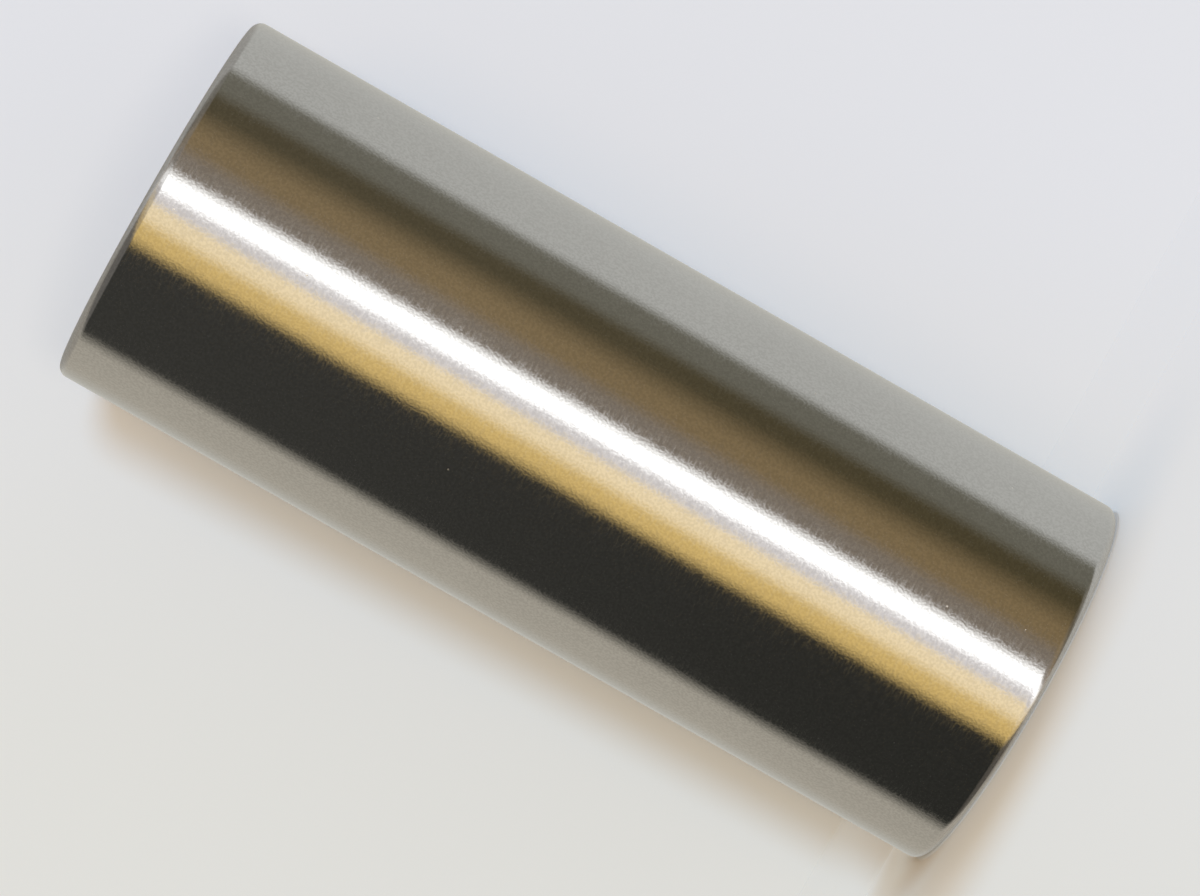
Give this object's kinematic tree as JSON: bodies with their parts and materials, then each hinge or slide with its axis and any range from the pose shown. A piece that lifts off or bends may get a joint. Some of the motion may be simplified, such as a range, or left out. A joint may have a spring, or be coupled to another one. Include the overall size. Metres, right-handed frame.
{
  "type": "piston pin",
  "caption": "Hollow cylindrical steel pin with a ground, mirror-bright outer surface, rounded outer edges and a straight through bore; it joins a piston to its connecting rod.",
  "frame": {"origin": "centre of the lower end face, on the pin's axis", "axes": "+Z along the pin's axis from the lower end face to the upper one; the pin is round, so +X and +Y are any two directions across it"},
  "size_m": [0.022, 0.022, 0.054],
  "materials": {
    "polished_steel": "case hardened steel, ground and superfinished to a mirror on the outside, ground ends, plain drawn bore"
  },
  "bodies": {
    "root": {"piston_pin": "polished_steel"}
  },
  "joints": []
}
